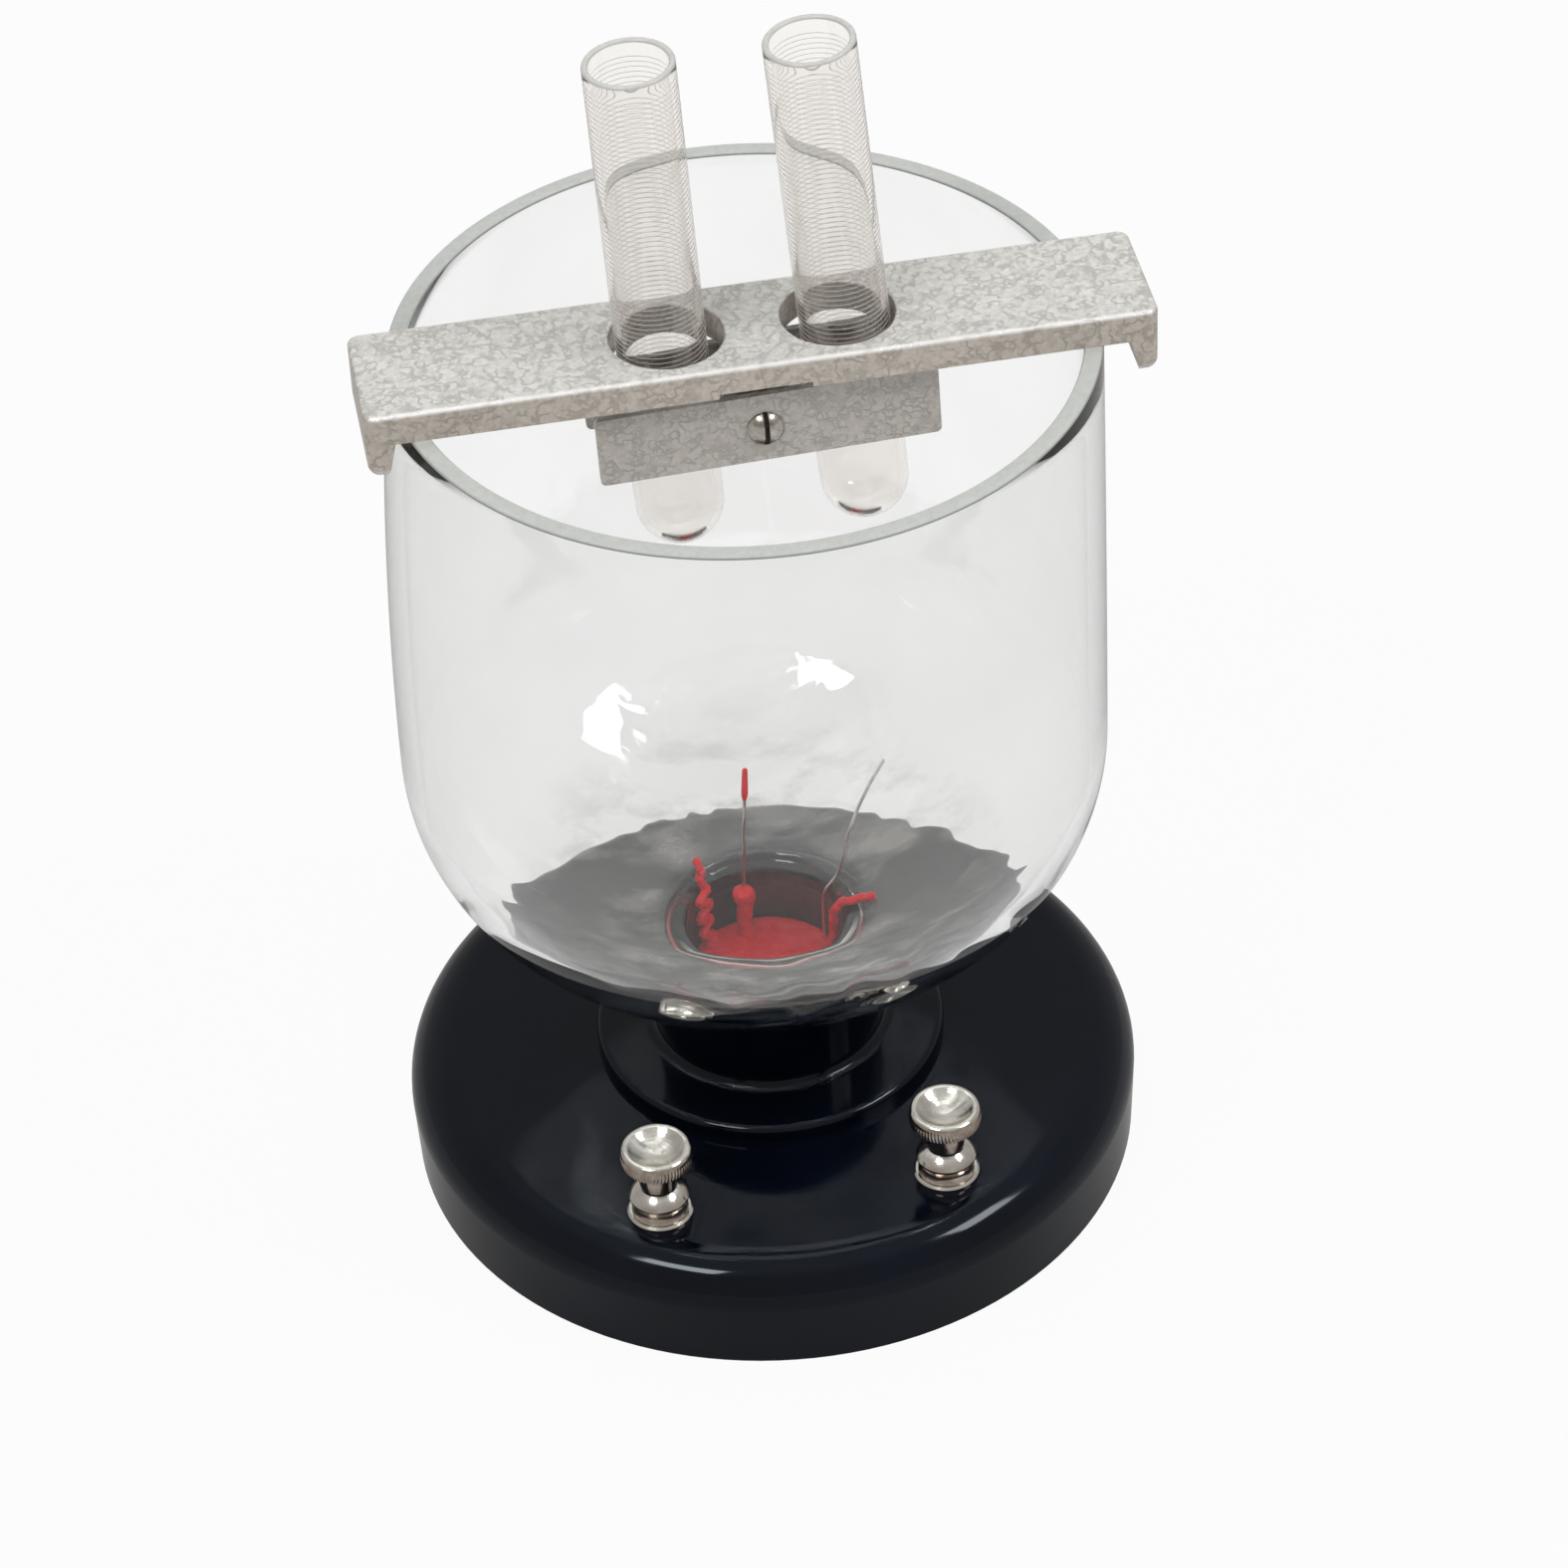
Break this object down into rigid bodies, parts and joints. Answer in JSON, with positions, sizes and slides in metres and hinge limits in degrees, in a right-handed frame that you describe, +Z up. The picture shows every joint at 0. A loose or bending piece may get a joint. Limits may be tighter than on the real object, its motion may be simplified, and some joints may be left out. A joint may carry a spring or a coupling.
{
  "type": "water electrolysis apparatus",
  "caption": "Glass bowl on a round black base with terminals and electrodes; a bar across the rim clamps graduated test tubes.",
  "frame": {"origin": "centre of the base's underside, on the table", "axes": "+Z up, +X along the bar and the line of the terminals, terminals at -Y"},
  "size_m": [0.1344, 0.132, 0.23],
  "materials": {
    "black_moulding": "glossy black moulding",
    "clear_glass": "clear",
    "cement": "pale plaster",
    "bung_rubber": "matt",
    "red_wax": "glossy sealing wax",
    "wire": "drawn wire",
    "hammer_paint": "silver hammer paint",
    "steel": "plain",
    "nickel_plate": "warm nickel plating",
    "brass": "plain",
    "lead_sleeve": "plastic sleeve"
  },
  "bodies": {
    "stand": {"base": "black_moulding", "glass_bowl": "clear_glass", "bowl_cement": "cement", "neck_stopper": "bung_rubber", "sealing_wax": "red_wax", "left_electrode": "wire", "right_electrode": "wire", "wax_tip": "red_wax", "tube_holder": "hammer_paint", "back_clamp_plate": "hammer_paint", "clamp_nut": "steel", "left_terminal_stud": "brass", "left_terminal_washer": "nickel_plate", "left_terminal_collar": "nickel_plate", "left_terminal_nut": "brass", "left_terminal_locknut": "brass", "left_terminal_tag": "brass", "left_lead": "lead_sleeve", "right_terminal_stud": "brass", "right_terminal_washer": "nickel_plate", "right_terminal_collar": "nickel_plate", "right_terminal_nut": "brass", "right_terminal_locknut": "brass", "right_terminal_tag": "brass", "right_lead": "lead_sleeve"},
    "left_knob": {"left_terminal_knob": "nickel_plate"},
    "right_knob": {"right_terminal_knob": "nickel_plate"},
    "front_plate": {"front_clamp_plate": "hammer_paint"},
    "clamp_screw": {"clamp_screw": "steel"},
    "left_tube": {"left_test_tube": "clear_glass"},
    "right_tube": {"right_test_tube": "clear_glass"}
  },
  "joints": [
    {"name": "left_knob_turn", "type": "hinge", "parent": "stand", "child": "left_knob", "pos_m": [-0.0275, -0.0438, 0.03], "axis": [0, 0, 1], "range_deg": [0, 720]},
    {"name": "right_knob_turn", "type": "hinge", "parent": "stand", "child": "right_knob", "pos_m": [0.0234, -0.045, 0.03], "axis": [0, 0, 1], "range_deg": [0, 720]},
    {"name": "clamp_plate_slide", "type": "slide", "parent": "stand", "child": "front_plate", "axis": [0, -1, 0], "range_m": [0, 0.001]},
    {"name": "clamp_screw_turn", "type": "hinge", "parent": "front_plate", "child": "clamp_screw", "pos_m": [0.003, -0.0125, 0.1623], "axis": [0, -1, 0], "range_deg": [0, 720]},
    {"name": "left_tube_slide", "type": "slide", "parent": "stand", "child": "left_tube", "axis": [-0.0419, 0, 0.9991], "range_m": [-0.05, 0.045]},
    {"name": "right_tube_slide", "type": "slide", "parent": "stand", "child": "right_tube", "axis": [-0.0715, 0, 0.9974], "range_m": [-0.05, 0.045]}
  ],
  "couplings": [
    {"joint": "clamp_screw_turn", "follows": "clamp_plate_slide", "rad_per_m": 12566}
  ]
}
